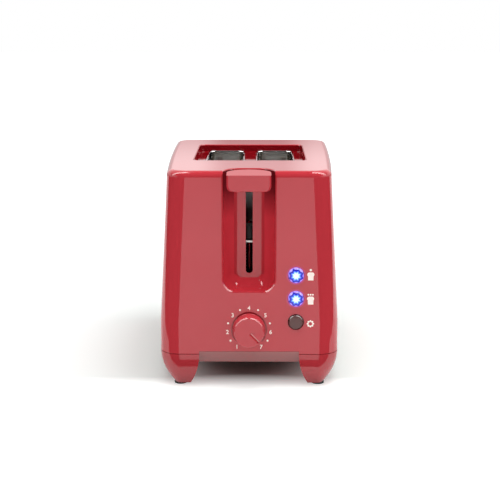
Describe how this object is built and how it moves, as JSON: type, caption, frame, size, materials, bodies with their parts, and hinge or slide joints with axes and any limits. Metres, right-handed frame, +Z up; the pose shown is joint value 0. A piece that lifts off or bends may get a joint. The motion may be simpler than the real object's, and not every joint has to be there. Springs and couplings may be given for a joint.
{
  "type": "two-slice toaster",
  "caption": "Compact two-slice toaster with a red moulded casing, front lever in a dished channel, browning dial, push buttons and a rear crumb tray.",
  "frame": {"origin": "centre of the bounding box on the ground plane, under the four rubber pads", "axes": "+Z up; -Y is the control end with the lever, dial and buttons, +Y the rear with the crumb tray handle; +X to the right seen from the control end"},
  "size_m": [0.1654, 0.291, 0.189],
  "materials": {
    "red_plastic": "glossy moulded plastic, red, with slightly eased edges",
    "chrome_trim": "polished chrome",
    "sheet_steel": "galvanised sheet and wire",
    "spring_steel": "drawn spring wire",
    "heating_wire": "flat resistance wire, dull oxide",
    "mica_board": "pressed mica sheet, flaky sheen",
    "circuit_board": "bare board resin",
    "copper_wire": "enamelled copper winding",
    "dark_plastic": "satin black moulding",
    "rubber_pad": "soft black rubber",
    "lit_lens": "clear lens lit blue from behind",
    "smoked_lens": "smoked lens, unlit",
    "cream_ink": "printed numbers, dots and pictograms"
  },
  "bodies": {
    "toaster_body": {"housing": "red_plastic", "base": "red_plastic", "cord_gland": "dark_plastic", "slot_trim_left": "chrome_trim", "slot_trim_right": "chrome_trim", "oven_front_plate": "sheet_steel", "oven_rear_plate": "sheet_steel", "oven_top_plate": "sheet_steel", "reflector_left": "sheet_steel", "reflector_right": "sheet_steel", "heater_card_centre": "mica_board", "heater_card_left": "mica_board", "heater_card_right": "mica_board", "heater_wire_centre_left": "heating_wire", "heater_wire_centre_right": "heating_wire", "heater_wire_left": "heating_wire", "heater_wire_right": "heating_wire", "guide_bracket": "sheet_steel", "guide_rod": "chrome_trim", "return_spring": "spring_steel", "control_board": "circuit_board", "potentiometer": "dark_plastic", "switch_upper": "dark_plastic", "switch_middle": "dark_plastic", "switch_lower": "dark_plastic", "power_board": "circuit_board", "magnet_core": "sheet_steel", "magnet_coil": "copper_wire", "foot_pad_front_left": "rubber_pad", "base_screw_front_left": "sheet_steel", "foot_pad_rear_left": "rubber_pad", "base_screw_rear_left": "sheet_steel", "foot_pad_front_right": "rubber_pad", "base_screw_front_right": "sheet_steel", "foot_pad_rear_right": "rubber_pad", "base_screw_rear_right": "sheet_steel"},
    "carriage": {"carriage_bracket": "sheet_steel", "guide_bush": "dark_plastic", "keeper": "sheet_steel", "lever_arm": "sheet_steel", "lever_knob": "red_plastic", "bread_rack_left": "sheet_steel", "bread_rack_right": "sheet_steel"},
    "guide_left_outer": {"bread_guide_left_outer": "sheet_steel"},
    "guide_left_inner": {"bread_guide_left_inner": "sheet_steel"},
    "guide_right_inner": {"bread_guide_right_inner": "sheet_steel"},
    "guide_right_outer": {"bread_guide_right_outer": "sheet_steel"},
    "dial": {"browning_dial": "red_plastic", "dial_shaft": "dark_plastic"},
    "upper_button": {"button_upper": "lit_lens"},
    "middle_button": {"button_middle": "lit_lens"},
    "lower_button": {"button_lower": "smoked_lens"},
    "tray": {"crumb_tray": "sheet_steel", "tray_handle": "red_plastic"}
  },
  "joints": [
    {"name": "carriage_slide", "type": "slide", "parent": "toaster_body", "child": "carriage", "axis": [0, 0, -1], "range_m": [0, 0.0736], "stiffness_N_per_m": 60, "springref_m": -0.07, "deforming": ["return_spring"]},
    {"name": "guide_left_outer_slide", "type": "slide", "parent": "toaster_body", "child": "guide_left_outer", "axis": [1, 0, 0], "range_m": [0, 0.005]},
    {"name": "guide_left_inner_slide", "type": "slide", "parent": "toaster_body", "child": "guide_left_inner", "axis": [-1, 0, 0], "range_m": [0, 0.005]},
    {"name": "guide_right_inner_slide", "type": "slide", "parent": "toaster_body", "child": "guide_right_inner", "axis": [1, 0, 0], "range_m": [0, 0.005]},
    {"name": "guide_right_outer_slide", "type": "slide", "parent": "toaster_body", "child": "guide_right_outer", "axis": [-1, 0, 0], "range_m": [0, 0.005]},
    {"name": "dial_turn", "type": "hinge", "parent": "toaster_body", "child": "dial", "pos_m": [0, -0.1288, 0.0525], "axis": [0, 1, 0], "range_deg": [-282.3, 10.3]},
    {"name": "upper_button_press", "type": "slide", "parent": "toaster_body", "child": "upper_button", "axis": [0, 1, 0], "range_m": [0, 0.0015], "stiffness_N_per_m": 400, "springref_m": -0.002},
    {"name": "middle_button_press", "type": "slide", "parent": "toaster_body", "child": "middle_button", "axis": [0, 1, 0], "range_m": [0, 0.0015], "stiffness_N_per_m": 400, "springref_m": -0.002},
    {"name": "lower_button_press", "type": "slide", "parent": "toaster_body", "child": "lower_button", "axis": [0, 1, 0], "range_m": [0, 0.0015], "stiffness_N_per_m": 400, "springref_m": -0.002},
    {"name": "tray_slide", "type": "slide", "parent": "toaster_body", "child": "tray", "axis": [0, 1, 0], "range_m": [0, 0.15]}
  ],
  "couplings": [
    {"joint": "guide_left_outer_slide", "follows": "carriage_slide", "ratio": 0.0679},
    {"joint": "guide_left_inner_slide", "follows": "carriage_slide", "ratio": 0.0679},
    {"joint": "guide_right_inner_slide", "follows": "carriage_slide", "ratio": 0.0679},
    {"joint": "guide_right_outer_slide", "follows": "carriage_slide", "ratio": 0.0679}
  ]
}
